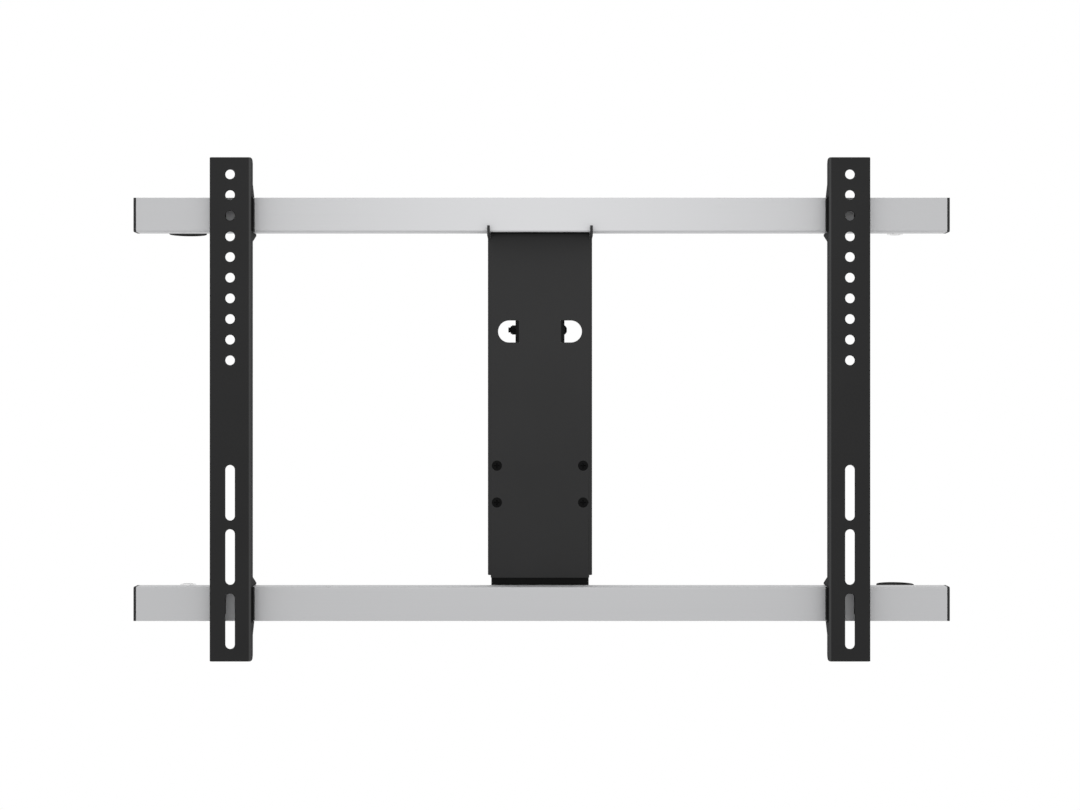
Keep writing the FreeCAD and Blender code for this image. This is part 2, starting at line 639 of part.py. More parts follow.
def make_bar_bolt():
    """The hanging bar's round-headed bolt."""
    ear_face = Vector(EAR_OUTER_X, BAR_DEPTH, BAR_HEIGHT)
    length = 2 * EAR_OUTER_X + BAR_NUT_HEIGHT + BAR_TIP
    shank = rod(M5, ear_face, length, -ALONG_X)
    head_radius = BAR_HEAD_DIAMETER / 2
    ball_radius = (head_radius**2 + BAR_HEAD_HEIGHT**2) / (2 * BAR_HEAD_HEIGHT)
    ball_centre = ear_face + ALONG_X * (BAR_HEAD_HEIGHT - ball_radius)
    head = Part.makeSphere(ball_radius, ball_centre)
    head = head.common(rod(BAR_HEAD_DIAMETER, ear_face, BAR_HEAD_HEIGHT, ALONG_X))
    socket_start = ear_face + ALONG_X * (BAR_HEAD_HEIGHT - BAR_SOCKET_DEPTH)
    socket = hexagon(BAR_SOCKET_FLATS, socket_start, BAR_HEAD_HEIGHT, ALONG_X)
    return shank.fuse(head).cut(socket).removeSplitter()


def make_bar_sleeve():
    """The tube on the bolt between the two ears."""
    start = Vector(-EAR_INNER_X, BAR_DEPTH, BAR_HEIGHT)
    sleeve = rod(BAR_SLEEVE_DIAMETER, start, 2 * EAR_INNER_X, ALONG_X)
    return sleeve.cut(rod(M5 + HOLE_PLAY, start, 2 * EAR_INNER_X, ALONG_X))


def make_bar_nut():
    """The locking nut on the bolt, with its round collar."""
    start = Vector(-EAR_OUTER_X, BAR_DEPTH, BAR_HEIGHT)
    hex_height = BAR_NUT_HEIGHT - BAR_NUT_COLLAR
    nut = hexagon(BAR_NUT_FLATS, start, hex_height, -ALONG_X)
    nut = nut.fuse(rod(BAR_NUT_FLATS, start - ALONG_X * hex_height, BAR_NUT_COLLAR, -ALONG_X))
    nut = nut.cut(rod(M5 + 2 * THREAD_GAP, start, BAR_NUT_HEIGHT, -ALONG_X))
    return nut.removeSplitter()


def hex_screw(thread, flats, head_height, start, length):
    """A hexagon screw that points to the front, with its head's face at a point."""
    shank = rod(thread, start, length, -ALONG_Y)
    flange = rod(WASHER_FACE_DIAMETER, start, WASHER_FACE_HEIGHT, ALONG_Y)
    head = hexagon(flats, start + ALONG_Y * WASHER_FACE_HEIGHT, head_height, ALONG_Y)
    return shank.fuse([flange, head]).removeSplitter()


def slot_nut(x, height, thread):
    """A square nut inside a rail, against the lips of its slot."""
    x_range = (x - SLOT_NUT_LENGTH / 2, x + SLOT_NUT_LENGTH / 2)
    y_range = (SLOT_NUT_BACK - SLOT_NUT_HEIGHT, SLOT_NUT_BACK)
    z_range = (height - SLOT_NUT_WIDTH / 2, height + SLOT_NUT_WIDTH / 2)
    start = Vector(x, y_range[0], height)
    return box(x_range, y_range, z_range).cut(rod(thread + 2 * THREAD_GAP, start, SLOT_NUT_HEIGHT, ALONG_Y))


def screw_reach(seat_depth):
    """The length of a screw from its seat to just through a slot nut."""
    return seat_depth - SLOT_NUT_BACK + SLOT_NUT_HEIGHT + SCREW_TAIL


def make_strip_screws():
    """The screws that pass through the rails into the strips' tabs."""
    length = RAIL_BACK - RAIL_FRONT + STRIP_SHEET + SCREW_TAIL
    screws = []
    for height in (RAIL_CENTRE, -RAIL_CENTRE):
        for x in strip_screw_places():
            screws.append(hex_screw(M5, HEX_M5_FLATS, HEX_M5_HEIGHT, Vector(x, RAIL_BACK, height), length))
    return screws


def make_rail_screws(x, height, seat):
    """A pair of screws that hold a rail to the part behind it."""
    length = screw_reach(seat)
    return [
        hex_screw(M6, HEX_M6_FLATS, HEX_M6_HEIGHT, Vector(sign * x, seat, height), length) for sign in (-1, 1)
    ]


def make_rail_nuts(x, height, thread):
    """A pair of slot nuts inside a rail."""
    return [slot_nut(sign * x, height, thread) for sign in (-1, 1)]


def make_spacers():
    """The washers between the lower rail and the lower bracket."""
    spacers = []
    thickness = BRACKET_FRONT - RAIL_BACK
    for sign in (-1, 1):
        start = Vector(sign * BOTTOM_SCREW_X, RAIL_BACK, -RAIL_CENTRE)
        spacer = rod(SPACER_DIAMETER, start, thickness, ALONG_Y)
        spacers.append(spacer.cut(rod(M6 + HOLE_PLAY, start, thickness, ALONG_Y)))
    return spacers


def buffer_axis():
    """The depth of a buffer's axis, and the height of the shelf that it hangs from."""
    depth = RAIL_BACK + BUFFER_GAP + BUFFER_DIAMETER / 2
    return depth, BUFFER_SHELF


def make_angle(x):
    """An angle bracket on the back of the upper rail, with a shelf for a buffer."""
    axis_depth, shelf = buffer_axis()
    shelf_end = axis_depth + ANGLE_SHELF_MARGIN
    outline = [(RAIL_BACK, shelf + ANGLE_RISE), (RAIL_BACK, shelf), (shelf_end, shelf)]
    section = folded_section(outline, ANGLE_SHEET, ANGLE_BEND, side)
    angle = span(section, x - ANGLE_WIDTH / 2, x + ANGLE_WIDTH / 2, ALONG_X)
    through = ANGLE_SHEET + 2 * OVERCUT
    screw_hole = rod(M5 + HOLE_PLAY, Vector(x, RAIL_BACK - OVERCUT, RAIL_CENTRE), through, ALONG_Y)
    buffer_hole = rod(M6 + HOLE_PLAY, Vector(x, axis_depth, shelf - OVERCUT), through, ALONG_Z)
    angle = angle.cut([screw_hole, buffer_hole])
    rear_edges = []
    for edge in angle.Edges:
        if runs_along(edge, ALONG_Z) and math.isclose(edge.CenterOfMass.y, shelf_end):
            rear_edges.append(edge)
    return angle.makeFillet(ANGLE_CORNER, rear_edges)


def make_buffer(x, diameter):
    """A round buffer under a shelf, with a blind hole for its screw."""
    axis_depth, shelf = buffer_axis()
    start = Vector(x, axis_depth, shelf - BUFFER_HEIGHT)
    disc = rod(diameter, start, BUFFER_HEIGHT, ALONG_Z)
    rims = [edge for edge in disc.Edges if edge.Closed]
    disc = disc.makeFillet(BUFFER_EDGE, rims)
    hole_start = Vector(x, axis_depth, shelf - BUFFER_SCREW_DEPTH)
    return disc.cut(rod(M6 + 2 * THREAD_GAP, hole_start, BUFFER_SCREW_DEPTH, ALONG_Z))


def make_buffer_screw(x):
    """The screw that holds a buffer under its shelf."""
    axis_depth, shelf = buffer_axis()
    head_start = Vector(x, axis_depth, shelf + ANGLE_SHEET)
    head = hexagon(HEX_M6_FLATS, head_start, HEX_M6_HEIGHT, ALONG_Z)
    shank = rod(M6, head_start, ANGLE_SHEET + BUFFER_SCREW_DEPTH - HOLE_PLAY, -ALONG_Z)
    return head.fuse(shank).removeSplitter()


def make_angle_screw(x):
    """The screw that holds an angle bracket to its rail."""
    seat = RAIL_BACK + ANGLE_SHEET
    return hex_screw(M5, HEX_M5_FLATS, HEX_M5_HEIGHT, Vector(x, seat, RAIL_CENTRE), screw_reach(seat))


def make_nodes():
    """Every node's solids, by name."""
    right_strip = make_right_strip()
    left_cap = make_upper_cap(-1)
    right_cap = make_upper_cap(1)
    left_angle = make_angle(-BUFFER_X)
    right_angle = make_angle(BUFFER_X)
    rubber_buffer = make_buffer(-BUFFER_X, BUFFER_DIAMETER)
    steel_post = make_buffer(BUFFER_X, POST_DIAMETER)
    ends = (-BUFFER_X, BUFFER_X)
    return {
        "left_tv_strip": [right_strip.mirror(CENTRE, ALONG_X)],
        "right_tv_strip": [right_strip],
        "strip_screws": make_strip_screws(),
        "top_rail": [make_rail(RAIL_CENTRE)],
        "bottom_rail": [make_rail(-RAIL_CENTRE)],
        "top_rail_left_cap": [on_upper_rail(left_cap)],
        "top_rail_right_cap": [on_upper_rail(right_cap)],
        "bottom_rail_left_cap": [on_lower_rail(right_cap)],
        "bottom_rail_right_cap": [on_lower_rail(left_cap)],
        "column": [make_column()],
        "column_screws": make_column_screws(),
        "lower_bracket": [make_lower_bracket()],
        "clinch_nuts": make_clinch_nuts(),
        "hanging_bar_bolt": [make_bar_bolt()],
        "hanging_bar_sleeve": [make_bar_sleeve()],
        "hanging_bar_nut": [make_bar_nut()],
        "top_rail_screws": make_rail_screws(RAIL_SCREW_X, RAIL_CENTRE, COLUMN_FACE_BACK),
        "top_rail_slot_nuts": make_rail_nuts(RAIL_SCREW_X, RAIL_CENTRE, M6),
        "bottom_rail_screws": make_rail_screws(BOTTOM_SCREW_X, -RAIL_CENTRE, BRACKET_FACE_BACK),
        "bottom_rail_slot_nuts": make_rail_nuts(BOTTOM_SCREW_X, -RAIL_CENTRE, M6),
        "bottom_rail_spacers": make_spacers(),
        "top_left_buffer_angle": [on_upper_rail(left_angle)],
        "top_right_post_angle": [on_upper_rail(right_angle)],
        "bottom_right_buffer_angle": [on_lower_rail(left_angle)],
        "bottom_left_post_angle": [on_lower_rail(right_angle)],
        "top_left_buffer": [on_upper_rail(rubber_buffer)],
        "bottom_right_buffer": [on_lower_rail(rubber_buffer)],
        "top_right_post": [on_upper_rail(steel_post)],
        "bottom_left_post": [on_lower_rail(steel_post)],
        "buffer_screws": on_both_rails([make_buffer_screw(x) for x in ends]),
        "angle_screws": on_both_rails([make_angle_screw(x) for x in ends]),
        "angle_slot_nuts": on_both_rails([slot_nut(x, RAIL_CENTRE, M5) for x in ends]),
    }


def main():
    """Build the nodes, move them to the part's frame and write one file for each."""
    os.makedirs("parts", exist_ok=True)
    to_origin = Vector(0, -BAR_DEPTH, -BAR_HEIGHT)
    for name, solids in make_nodes().items():
        placed = [solid.translated(to_origin) for solid in solids]
        shape = placed[0] if len(placed) == 1 else Part.makeCompound(placed)
        shape.exportStep("parts/" + name + ".step")
        print(name, len(shape.Solids), round(shape.Volume, 1), shape.isValid())


main()
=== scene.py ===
"""Dresses a packed TV mount: finishes, rounded edges, fasteners, and a plain white studio."""

import logging
import math
from collections.abc import Callable, Iterable, Mapping, Sequence
from dataclasses import dataclass
from enum import Enum
from typing import Any, Union

import bmesh
import bpy
from mathutils import Matrix, Vector

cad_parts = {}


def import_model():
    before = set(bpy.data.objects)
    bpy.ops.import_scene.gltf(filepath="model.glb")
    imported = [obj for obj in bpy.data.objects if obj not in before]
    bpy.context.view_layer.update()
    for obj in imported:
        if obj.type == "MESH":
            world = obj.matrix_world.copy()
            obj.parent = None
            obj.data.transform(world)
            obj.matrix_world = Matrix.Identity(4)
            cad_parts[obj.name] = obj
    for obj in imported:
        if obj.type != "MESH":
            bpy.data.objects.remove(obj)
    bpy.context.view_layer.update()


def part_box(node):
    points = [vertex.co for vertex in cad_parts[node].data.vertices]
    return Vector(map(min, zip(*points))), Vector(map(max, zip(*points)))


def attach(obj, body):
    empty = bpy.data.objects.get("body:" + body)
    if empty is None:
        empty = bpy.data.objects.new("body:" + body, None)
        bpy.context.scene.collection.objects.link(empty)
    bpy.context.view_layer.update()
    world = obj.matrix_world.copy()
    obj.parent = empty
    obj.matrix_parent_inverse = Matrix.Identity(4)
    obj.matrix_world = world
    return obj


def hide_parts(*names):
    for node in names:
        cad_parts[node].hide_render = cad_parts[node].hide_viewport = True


MM = 0.001
BODY = "root"
WHITE = (1.0, 1.0, 1.0, 1.0)
EVEN = (1.0, 1.0, 1.0)
NOISE_MEAN = 0.5

Colour = tuple[float, float, float]
Place = tuple[float, float, float]
Point = tuple[float, float]
Span = tuple[float, float]
Seat = tuple[Vector, Vector]
Value = Union["Socket", float]
Key = Union[str, int]
EdgeTest = Callable[[bmesh.types.BMEdge], bool]
FaceTest = Callable[[bmesh.types.BMFace], bool]

LEFT = Vector((-1.0, 0.0, 0.0))
FORWARD = Vector((0.0, -1.0, 0.0))
UP = Vector((0.0, 0.0, 1.0))
DOWN = Vector((0.0, 0.0, -1.0))

# Places that more than one sub-assembly uses
TOP_RAIL = 111.125 * MM
BOTTOM_RAIL = -268.725 * MM
LEFT_FOOT = -350.4 * MM
RIGHT_FOOT = 353.6 * MM
FOOT_DEPTH = 4.6 * MM
TOP_SHELF = 100.975 * MM
BOTTOM_SHELF = -258.575 * MM

log = logging.getLogger("tv_mount")


class Socket:
    """A node's output, for use in sums, differences and products."""

    def __init__(self, shader: "Shader", output: bpy.types.NodeSocket) -> None:
        """Keep the output and the shader that it belongs to."""
        self.shader = shader
        self.output = output

    def __add__(self, other: Value) -> "Socket":
        """This value plus another."""
        return self.shader.maths("ADD", self, other)

    def __radd__(self, other: Value) -> "Socket":
        """Another value plus this one."""
        return self.shader.maths("ADD", other, self)

    def __sub__(self, other: Value) -> "Socket":
        """This value less another."""
        return self.shader.maths("SUBTRACT", self, other)

    def __rsub__(self, other: Value) -> "Socket":
        """Another value less this one."""
        return self.shader.maths("SUBTRACT", other, self)

    def __mul__(self, other: Value) -> "Socket":
        """This value times another."""
        return self.shader.maths("MULTIPLY", self, other)

    def __rmul__(self, other: Value) -> "Socket":
        """Another value times this one."""
        return self.shader.maths("MULTIPLY", other, self)

    def about(self, level: float, swing: float) -> "Socket":
        """A level that swings to both sides with this noise pattern."""
        return level + (self - NOISE_MEAN) * swing


class Shader:
    """The nodes of one material or world."""

    # Sockets of a colour Mix node, whose names it repeats for other types
    mix_share = 0
    mix_first = 6
    mix_second = 7
    mix_result = 2

    def __init__(self, tree: bpy.types.NodeTree) -> None:
        """Start from an empty tree."""
        self.tree = tree
        tree.nodes.clear()

    def node(
        self,
        kind: str,
        output: Key = 0,
        settings: Mapping[str, Any] | None = None,
        inputs: Mapping[Key, Any] | None = None,
    ) -> Socket | None:
        """Add one node.

        Args:
            kind: The node's type.
            output: The output to return, by name or index.
            settings: Attributes to set first.
            inputs: Values or links of its inputs, by name or index.

        Returns:
            The chosen output, or None where the node has no outputs.
        """
        node = self.tree.nodes.new(kind)
        for name, value in (settings or {}).items():
            setattr(node, name, value)
        for name, value in (inputs or {}).items():
            if isinstance(value, Socket):
                self.tree.links.new(value.output, node.inputs[name])
            else:
                node.inputs[name].default_value = value
        return Socket(self, node.outputs[output]) if len(node.outputs) else None

    def maths(self, operation: str, first: Value, second: Value) -> Socket:
        """Add a Math node and return its value."""
        return self.node("ShaderNodeMath", 0, {"operation": operation}, {0: first, 1: second})

    def mix(self, share: Value, first: Colour, second: Colour) -> Socket:
        """Blend from one colour to another by a share."""
        inputs = {self.mix_share: share, self.mix_first: (*first, 1.0), self.mix_second: (*second, 1.0)}
        return self.node("ShaderNodeMix", self.mix_result, {"data_type": "RGBA"}, inputs)

    def place(self, stretch: Sequence[float] = EVEN) -> Socket:
        """The place on the object in metres, scaled along each axis."""
        coordinates = self.node("ShaderNodeTexCoord", "Object")
        return self.node("ShaderNodeMapping", inputs={"Vector": coordinates, "Scale": stretch})

    def noise(self, grain: float, detail: float = 2.0, stretch: Sequence[float] = EVEN) -> Socket:
        """Add a noise pattern.

        Args:
            grain: The size of one grain in metres.
            detail: How many finer layers it has.
            stretch: Scale along each axis; a small number draws the grains out.

        Returns:
            A value about one half.
        """
        inputs = {"Vector": self.place(stretch), "Scale": 1 / grain, "Detail": detail}
        return self.node("ShaderNodeTexNoise", inputs=inputs)

    def bump(self, height: Socket, depth: float) -> Socket:
        """A normal that follows a height pattern of a given depth in metres."""
        return self.node("ShaderNodeBump", inputs={"Strength": 1.0, "Distance": depth, "Height": height})

    def seen_rays(self) -> tuple[Socket, Socket, Socket]:
        """Ask where a ray comes from.

        Returns:
            Whether it comes from the camera, from a reflection, and through glass.
        """
        camera = self.node("ShaderNodeLightPath", "Is Camera Ray")
        glossy = self.node("ShaderNodeLightPath", "Is Glossy Ray")
        through = self.node("ShaderNodeLightPath", "Is Transmission Ray")
        return camera, glossy, through

    def blend(self, share: Value, first: Socket, second: Socket) -> Socket:
        """Blend from one surface or background to another by a share."""
        return self.node("ShaderNodeMixShader", inputs={0: share, 1: first, 2: second})

    def surface(self, inputs: Mapping[Key, Any]) -> None:
        """Finish a material with a principled surface."""
        shaded = self.node("ShaderNodeBsdfPrincipled", inputs=inputs)
        self.node("ShaderNodeOutputMaterial", inputs={"Surface": shaded})


class Finish:
    """A finish that builds its own material; its fields are in the classes below."""

    name: str

    def dress(self, shader: Shader) -> None:
        """Add the finish's nodes."""
        raise NotImplementedError

    def material(self) -> bpy.types.Material:
        """Find the finish's material, or make it on its first use.

        Returns:
            The material.
        """
        found = bpy.data.materials.get(self.name)
        if found is None:
            found = bpy.data.materials.new(self.name)
            found.use_nodes = True
            self.dress(Shader(found.node_tree))
        return found


@dataclass(frozen=True)
class PowderCoat(Finish):
    """Satin black powder coat with a fine orange peel."""

    name: str
    dark: Colour
    light: Colour
    specular: float = 0.06
    roughness: float = 0.80
    roughness_swing: float = 0.12
    cloud: float = 60 * MM
    peel: float = 1.3 * MM
    peel_depth: float = 0.010 * MM

    def dress(self, shader: Shader) -> None:
        """Mottle the colour slightly and break up the gloss with the peel.

        Args:
            shader: The material's nodes.
        """
        cloud = shader.noise(self.cloud)
        peel = shader.noise(self.peel)
        shader.surface(
            {
                "Base Color": shader.mix(cloud, self.dark, self.light),
                "Roughness": peel.about(self.roughness, self.roughness_swing),
                "Specular IOR Level": self.specular,
                "Normal": shader.bump(peel, self.peel_depth),
            }
        )


@dataclass(frozen=True)
class Anodised(Finish):
    """Matt anodised aluminium with the fine lines of an extrusion along X."""

    name: str = "anodised_aluminium"
    dark: Colour = (0.555, 0.557, 0.565)
    light: Colour = (0.600, 0.602, 0.610)
    roughness: float = 0.70
    roughness_swing: float = 0.06
    line: float = 0.8 * MM
    draw: float = 0.002
    line_depth: float = 0.0008 * MM

    def dress(self, shader: Shader) -> None:
        """Draw the lines out along the rail in colour, gloss and bump.

        Args:
            shader: The material's nodes.
        """
        lines = shader.noise(self.line, stretch=(self.draw, 1.0, 1.0))
        shader.surface(
            {
                "Base Color": shader.mix(lines, self.dark, self.light),
                "Metallic": 1.0,
                "Roughness": lines.about(self.roughness, self.roughness_swing),
                "Normal": shader.bump(lines, self.line_depth),
            }
        )


@dataclass(frozen=True)
class MouldedPlastic(Finish):
    """Dark moulded plastic with a spark-eroded grain."""

    name: str = "moulded_plastic"
    dark: Colour = (0.024, 0.024, 0.025)
    light: Colour = (0.030, 0.030, 0.031)
    specular: float = 0.15
    roughness: float = 0.58
    roughness_swing: float = 0.10
    grain: float = 0.5 * MM
    grain_depth: float = 0.006 * MM

    def dress(self, shader: Shader) -> None:
        """Give the grain to the colour, the gloss and the bump.

        Args:
            shader: The material's nodes.
        """
        grain = shader.noise(self.grain)
        shader.surface(
            {
                "Base Color": shader.mix(grain, self.dark, self.light),
                "Roughness": grain.about(self.roughness, self.roughness_swing),
                "Specular IOR Level": self.specular,
                "Normal": shader.bump(grain, self.grain_depth),
            }
        )


@dataclass(frozen=True)
class Plating(Finish):
    """A plated, blackened or turned metal with a faint cloud in its gloss."""

    name: str
    dark: Colour
    light: Colour
    metallic: float
    roughness: float
    specular: float = 0.5
    roughness_swing: float = 0.12
    cloud: float = 4.0 * MM
    cloud_detail: float = 3.0
    grain: float = 0.30 * MM
    grain_detail: float = 1.0
    grain_depth: float = 0.003 * MM

    def dress(self, shader: Shader) -> None:
        """Cloud the plating and give it a very fine grain.

        Args:
            shader: The material's nodes.
        """
        cloud = shader.noise(self.cloud, self.cloud_detail)
        grain = shader.noise(self.grain, self.grain_detail)
        shader.surface(
            {
                "Base Color": shader.mix(cloud, self.dark, self.light),
                "Metallic": self.metallic,
                "Roughness": cloud.about(self.roughness, self.roughness_swing),
                "Specular IOR Level": self.specular,
                "Normal": shader.bump(grain, self.grain_depth),
            }
        )


@dataclass(frozen=True)
class Rubber(Finish):
    """Moulded black rubber with a dusty, uneven surface."""

    name: str = "moulded_rubber"
    dark: Colour = (0.005, 0.005, 0.005)
    light: Colour = (0.009, 0.009, 0.0088)
    specular: float = 0.06
    roughness: float = 0.85
    roughness_swing: float = 0.15
    dust: float = 9.0 * MM
    dust_detail: float = 3.0
    grain: float = 0.6 * MM
    grain_depth: float = 0.03 * MM

    def dress(self, shader: Shader) -> None:
        """Dust the colour and give the skin a fine grain.

        Args:
            shader: The material's nodes.
        """
        dust = shader.noise(self.dust, self.dust_detail)
        grain = shader.noise(self.grain)
        shader.surface(
            {
                "Base Color": shader.mix(dust, self.dark, self.light),
                "Roughness": dust.about(self.roughness, self.roughness_swing),
                "Specular IOR Level": self.specular,
                "Normal": shader.bump(grain, self.grain_depth),
            }
        )


@dataclass(frozen=True)
class FloorPaint(Finish):
    """Matt pale paint that fades to white towards the floor's rim, and shows white in reflections."""

    fade_start: float
    fade_end: float
    name: str = "pale_floor"
    colour: Colour = (0.80, 0.80, 0.80)

    def dress(self, shader: Shader) -> None:
        """Fade the paint by its distance from the floor's middle.

        Args:
            shader: The material's nodes.
        """
        flat_place = shader.place((1.0, 1.0, 0.0))
        radius = shader.node("ShaderNodeVectorMath", "Value", {"operation": "LENGTH"}, {0: flat_place})
        rim = shader.node(
            "ShaderNodeMapRange",
            settings={"interpolation_type": "SMOOTHSTEP"},
            inputs={"Value": radius, "From Min": self.fade_start, "From Max": self.fade_end},
        )
        matte = shader.node("ShaderNodeBsdfDiffuse", inputs={"Color": (*self.colour, 1.0)})
        glow = shader.node("ShaderNodeEmission", inputs={"Color": WHITE, "Strength": 1.0})
        camera, glossy, through = shader.seen_rays()
        mixed = shader.blend(rim * camera + glossy + through, matte, glow)
        shader.node("ShaderNodeOutputMaterial", inputs={"Surface": mixed})


class Surface(Enum):
    """The kinds of surface, each with its slot in the record and its finish."""

    # The strips' coat is a darker copy of the column's black coat: painted shade for the lamp's light
    # falling off away from the middle.
    STRIP = (
        "black_powder_coat",
        PowderCoat("shaded_strip_coat", (0.024, 0.024, 0.0243), (0.028, 0.028, 0.0283)),
    )
    # The column's coat is the lighter copy of the same black coat: painted light from the lamp near the
    # middle.
    COLUMN = (
        "black_powder_coat",
        PowderCoat("lit_column_coat", (0.030, 0.030, 0.0303), (0.034, 0.034, 0.0343)),
    )
    # A near black copy of the coat: painted shade, for the lower bracket, the ears' folds and the dark
    # blocks in the bend reliefs.
    PAINTED_SHADE = (
        "black_powder_coat",
        PowderCoat("painted_shade_coat", (0.0075, 0.0075, 0.0075), (0.0095, 0.0095, 0.0095)),
    )
    # A lighter copy of the coat: a painted highlight on the strips' inner folds and on the rounding at
    # the column's foot.
    FOLD_HIGHLIGHT = (
        "black_powder_coat",
        PowderCoat("painted_highlight_coat", (0.056, 0.056, 0.0565), (0.064, 0.064, 0.0645)),
    )
    RAIL = ("anodised_rail", Anodised())
    CAP = ("cap_plastic", MouldedPlastic())
    BLACK_FASTENER = (
        "black_fastener",
        Plating(
            "black_oxide",
            (0.003, 0.003, 0.0031),
            (0.005, 0.005, 0.0051),
            metallic=0.0,
            roughness=0.60,
            specular=0.05,
        ),
    )
    ZINC_FASTENER = (
        "zinc_fastener",
        Plating("zinc_plate", (0.50, 0.51, 0.52), (0.66, 0.66, 0.64), metallic=1.0, roughness=0.30),
    )
    RUBBER = ("buffer_rubber", Rubber())
    POST = (
        "bright_post",
        Plating("turned_aluminium", (0.70, 0.70, 0.71), (0.80, 0.80, 0.80), metallic=1.0, roughness=0.25),
    )

    @property
    def slot(self) -> str:
        """The slot's name in the record."""
        return self.value[0]

    @property
    def finish(self) -> Finish:
        """The finish that dresses the surface."""
        return self.value[1]


class Form:
    """A mesh under construction, in metres, at its place in the part's frame."""

    merge_distance = 0.002 * MM
    flat_turn = math.radians(0.4)
    sharp_turn = math.radians(35)
    smooth_turn = math.radians(50)
    flat_area = 700 * MM * MM
    along = 0.99
    turned_steps = 48
    hexagon_sides = 6
    dimple_rim = 3
    chamfer_steps = 2

    def __init__(self) -> None:
        """Start with no faces and no marks."""
        self.mesh = bmesh.new()
        self.marked: list[Surface] = []

    @classmethod
    def of_node(cls, node: str) -> "Form":
        """Copy a node's solid, with its triangles merged into flat faces.

        Args:
            node: The node's name.

        Returns:
            The copy.
        """
        form = cls()
        form.mesh.from_mesh(bpy.data.objects[node].data)
        bmesh.ops.remove_doubles(form.mesh, verts=form.mesh.verts, dist=cls.merge_distance)
        bmesh.ops.dissolve_limit(
            form.mesh, angle_limit=cls.flat_turn, verts=form.mesh.verts, edges=form.mesh.edges
        )
        return form

    def turn(self, profile: Sequence[Point], base: Vector, axis: Vector) -> "Form":
        """Add a turned body.

        Args:
            profile: Its half section, as places along the axis and radii in metres.
            base: Where the axis starts.
            axis: The direction of the axis.

        Returns:
            This form.
        """
        out = axis.orthogonal().normalized()
        points = [self.mesh.verts.new(base + axis * along + out * radius) for along, radius in profile]
        edges = [self.mesh.edges.new(pair) for pair in zip(points, points[1:])]
        bmesh.ops.spin(
            self.mesh,
            geom=points + edges,
            cent=base,
            axis=axis,
            angle=2 * math.pi,
            steps=self.turned_steps,
            use_merge=True,
        )
        bmesh.ops.remove_doubles(self.mesh, verts=self.mesh.verts, dist=self.merge_distance)
        bmesh.ops.recalc_face_normals(self.mesh, faces=self.mesh.faces)
        return self

    def hexagon(self, flats: float, height: float, chamfer: float, base: Vector, axis: Vector) -> "Form":
        """Add a hexagonal head or nut with chamfered corners and a dimple in its end.

        Args:
            flats: The width across its flats.
            height: Its height.
            chamfer: The width of the chamfer, and the depth of the dimple.
            base: The middle of its seat.
            axis: The direction from its seat to its end.

        Returns:
            This form.
        """
        corner_radius = flats / math.sqrt(3)
        turned = axis.to_track_quat("Z", "Y").to_matrix().to_4x4()
        made = bmesh.ops.create_cone(
            self.mesh,
            cap_ends=True,
            segments=self.hexagon_sides,
            radius1=corner_radius,
            radius2=corner_radius,
            depth=height,
            matrix=Matrix.Translation(base + axis * height / 2) @ turned,
        )
        faces = {face for vert in made["verts"] for face in vert.link_faces}
        end = max(faces, key=lambda face: face.calc_center_median().dot(axis))
        corners = list(end.edges)
        rim = self.dimple_rim * chamfer
        bmesh.ops.inset_region(self.mesh, faces=[end], thickness=rim, use_even_offset=True)
        bmesh.ops.inset_region(
            self.mesh, faces=[end], thickness=chamfer, depth=-chamfer, use_even_offset=True
        )
        self.bevel(corners, chamfer, self.chamfer_steps)
        return self

    def block(self, low: Vector, high: Vector) -> "Form":
        """Add a block.

        Args:
            low: Its lowest corner along every axis.
            high: The corner opposite.

        Returns:
            This form.
        """
        placed = Matrix.Translation((low + high) / 2) @ Matrix.Diagonal((*(high - low), 1.0))
        bmesh.ops.create_cube(self.mesh, size=1.0, matrix=placed)
        return self

    def block_pair(self, across: Span, depth: Span, height: Span) -> "Form":
        """Add a block on the right of the mount's middle and its image on the left.

        Args:
            across: How far from the middle it starts and ends.
            depth: Its front and back.
            height: Its bottom and top.

        Returns:
            This form.
        """
        near, far = across
        front, back = depth
        bottom, top = height
        self.block(Vector((near, front, bottom)), Vector((far, back, top)))
        return self.block(Vector((-far, front, bottom)), Vector((-near, back, top)))

    def mark(self, chosen: FaceTest, surface: Surface) -> "Form":
        """Give some faces a surface of their own.

        Args:
            chosen: A test of the faces.
            surface: Their surface.

        Returns:
            This form.
        """
        self.marked.append(surface)
        for face in self.mesh.faces:
            if chosen(face):
                face.material_index = len(self.marked)
        return self

    def half_turn(self, middle: Vector) -> "Form":
        """Turn the form half a turn about a line along Y.

        Args:
            middle: A point on the line.

        Returns:
            This form.
        """
        turn = Matrix.Rotation(math.pi, 3, "Y")
        bmesh.ops.rotate(self.mesh, cent=middle, matrix=turn, verts=self.mesh.verts)
        return self

    def lift(self, height: float, rise: float) -> "Form":
        """Raise the vertices at one height.

        Args:
            height: Where they are.
            rise: How far they go up.

        Returns:
            This form.
        """
        level = [vert for vert in self.mesh.verts if abs(vert.co.z - height) < self.merge_distance]
        bmesh.ops.translate(self.mesh, vec=UP * rise, verts=level)
        return self

    def bevel(self, edges: list[bmesh.types.BMEdge], width: float, segments: int) -> None:
        """Round some edges.

        Args:
            edges: The edges.
            width: How far the rounding reaches from an edge, in metres.
            segments: How many steps the rounding has.
        """
        bmesh.ops.bevel(
            self.mesh,
            geom=edges,
            offset=width,
            offset_type="OFFSET",
            affect="EDGES",
            segments=segments,
            profile=0.5,
            clamp_overlap=False,
            material=-1,
        )

    def soften(self, width: float, segments: int = 2, chosen: EdgeTest | None = None) -> "Form":
        """Round the outer edges that turn sharply.

        Args:
            width: How far the rounding reaches from the edge, in metres.
            segments: How many steps the rounding has.
            chosen: A test of the edges to round, or None for all edges.

        Returns:
            This form.
        """
        edges = []
        for edge in self.mesh.edges:
            if not (edge.is_manifold and edge.is_convex and edge.calc_face_angle() > self.sharp_turn):
                continue
            if chosen is None or chosen(edge):
                edges.append(edge)
        self.bevel(edges, width, segments)
        return self

